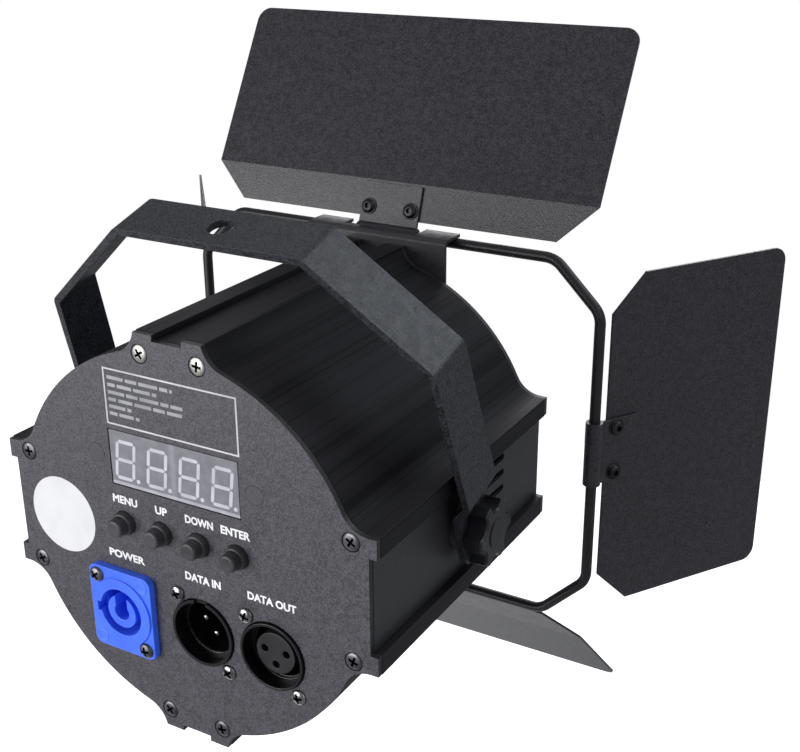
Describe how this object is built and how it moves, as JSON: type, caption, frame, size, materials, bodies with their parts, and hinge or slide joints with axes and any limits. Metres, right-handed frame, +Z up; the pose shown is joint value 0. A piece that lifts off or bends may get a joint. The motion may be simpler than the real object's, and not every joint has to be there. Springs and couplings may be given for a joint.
{
  "type": "led wash light",
  "caption": "Compact stage wash light: black extruded housing in a bent flat yoke, rear panel with display, buttons and round sockets, and hinged barn doors on a rod frame.",
  "frame": {"origin": "centre of the hole in the yoke's top flat, on the flat's upper face", "axes": "+Z up, +X to the left as seen from behind the lamp, -Y the way the beam leaves, +Y towards whoever stands behind it; the yoke leans back by 16.7 degrees"},
  "size_m": [0.2741, 0.2079, 0.282],
  "materials": {
    "powder_coat_dark": "dark grey textured powder coat on steel",
    "anodised_black": "black anodised aluminium extrusion with fine long lines",
    "side_sheet": "smooth black sheet",
    "panel_coat": "mid-dark grey fine-texture powder coat",
    "leaf_coat": "charcoal textured powder coat on thin sheet steel",
    "front_coat": "black textured powder coat",
    "bright_screw": "bright zinc-plated steel",
    "dark_screw": "blackened steel",
    "display_film": "frosted grey window",
    "display_case": "dark moulded plastic",
    "board_green": "green circuit board",
    "board_post_metal": "dull dark nickel",
    "button_plastic": "black moulded plastic",
    "blue_plastic": "bright blue moulded plastic",
    "socket_metal": "nickel-plated die casting, black on its flange",
    "socket_plastic": "black moulded plastic",
    "clear_glass": "clear glass",
    "reflector_silver": "metallised plastic reflector",
    "emitter_yellow": "phosphor-coated emitters on white bases",
    "sink_aluminium": "plain aluminium",
    "fan_plastic": "black moulded plastic",
    "knob_plastic": "black moulded plastic, slight sheen",
    "washer_fibre": "dark fibre",
    "rod_black": "satin black lacquer on a steel rod"
  },
  "bodies": {
    "yoke": {"yoke": "powder_coat_dark"},
    "housing": {"board_posts": "board_post_metal", "channel_strips": "anodised_black", "control_board": "board_green", "data_in_insert": "socket_plastic", "data_in_pins": "bright_screw", "data_in_shell": "socket_metal", "data_out_insert": "socket_plastic", "data_out_shell": "socket_metal", "data_socket_screws": "bright_screw", "display_module": "display_case", "display_window": "display_film", "door_bracket_bottom": "front_coat", "door_bracket_top": "front_coat", "door_frame": "rod_black", "fan_frame": "fan_plastic", "friction_washers": "washer_fibre", "front_glass": "clear_glass", "front_plate": "front_coat", "front_screws": "dark_screw", "heat_sink": "sink_aluminium", "heat_sink_posts": "sink_aluminium", "inlet_screws": "dark_screw", "key_switches": "display_case", "led_emitters": "emitter_yellow", "pivot_nuts": "bright_screw", "power_inlet": "blue_plastic", "power_inlet_core": "blue_plastic", "power_supply": "sink_aluminium", "power_supply_tray": "sink_aluminium", "rear_panel": "panel_coat", "rear_screws": "dark_screw", "reflector_tray": "reflector_silver", "shell_bottom_left": "anodised_black", "shell_bottom_right": "anodised_black", "shell_top_left": "anodised_black", "shell_top_right": "anodised_black", "side_plate_left": "side_sheet", "side_plate_right": "side_sheet"},
    "knob_left": {"knob_left": "knob_plastic", "knob_stud_left": "bright_screw"},
    "knob_right": {"knob_right": "knob_plastic", "knob_stud_right": "bright_screw"},
    "leaf_top": {"leaf_top": "leaf_coat", "hinge_tab_top": "leaf_coat", "leaf_screws_top": "dark_screw"},
    "leaf_bottom": {"leaf_bottom": "leaf_coat", "hinge_tab_bottom": "leaf_coat", "leaf_screws_bottom": "dark_screw"},
    "leaf_right": {"leaf_right": "leaf_coat", "hinge_tab_right": "leaf_coat", "leaf_screws_right": "dark_screw"},
    "leaf_left": {"leaf_left": "leaf_coat", "hinge_tab_left": "leaf_coat", "leaf_screws_left": "dark_screw"},
    "button_menu": {"button_menu": "button_plastic"},
    "button_up": {"button_up": "button_plastic"},
    "button_down": {"button_down": "button_plastic"},
    "button_enter": {"button_enter": "button_plastic"},
    "fan_rotor": {"fan_rotor": "fan_plastic"}
  },
  "joints": [
    {"name": "tilt", "type": "hinge", "parent": "yoke", "child": "housing", "pos_m": [0, -0.0296, -0.09866], "axis": [1, 0, 0], "range_deg": [-48, 193]},
    {"name": "knob_left_turn", "type": "hinge", "parent": "housing", "child": "knob_left", "pos_m": [0.0747, -0.0296, -0.09866], "axis": [1, 0, 0], "range_deg": [0, 360]},
    {"name": "knob_right_turn", "type": "hinge", "parent": "housing", "child": "knob_right", "pos_m": [-0.0747, -0.0296, -0.09866], "axis": [-1, 0, 0], "range_deg": [0, 360]},
    {"name": "leaf_top_swing", "type": "hinge", "parent": "housing", "child": "leaf_top", "pos_m": [0, -0.1007, -0.02656], "axis": [1, 0, 0], "range_deg": [-39, 109]},
    {"name": "leaf_bottom_swing", "type": "hinge", "parent": "housing", "child": "leaf_bottom", "pos_m": [0, -0.1007, -0.17076], "axis": [-1, 0, 0], "range_deg": [-54.5, 93.5]},
    {"name": "leaf_right_swing", "type": "hinge", "parent": "housing", "child": "leaf_right", "pos_m": [-0.0869, -0.1007, -0.09866], "axis": [0, 0, 1], "range_deg": [-77.5, 32.5]},
    {"name": "leaf_left_swing", "type": "hinge", "parent": "housing", "child": "leaf_left", "pos_m": [0.0869, -0.1007, -0.09866], "axis": [0, 0, -1], "range_deg": [-70.1, 39.9]},
    {"name": "button_menu_press", "type": "slide", "parent": "housing", "child": "button_menu", "axis": [0, -1, 0], "range_m": [0, 0.0005], "stiffness_N_per_m": 2000, "springref_m": -0.0005},
    {"name": "button_up_press", "type": "slide", "parent": "housing", "child": "button_up", "axis": [0, -1, 0], "range_m": [0, 0.0005], "stiffness_N_per_m": 2000, "springref_m": -0.0005},
    {"name": "button_down_press", "type": "slide", "parent": "housing", "child": "button_down", "axis": [0, -1, 0], "range_m": [0, 0.0005], "stiffness_N_per_m": 2000, "springref_m": -0.0005},
    {"name": "button_enter_press", "type": "slide", "parent": "housing", "child": "button_enter", "axis": [0, -1, 0], "range_m": [0, 0.0005], "stiffness_N_per_m": 2000, "springref_m": -0.0005},
    {"name": "fan_spin", "type": "hinge", "parent": "housing", "child": "fan_rotor", "pos_m": [0, -0.0309, -0.09866], "axis": [0, 1, 0], "continuous": true}
  ]
}
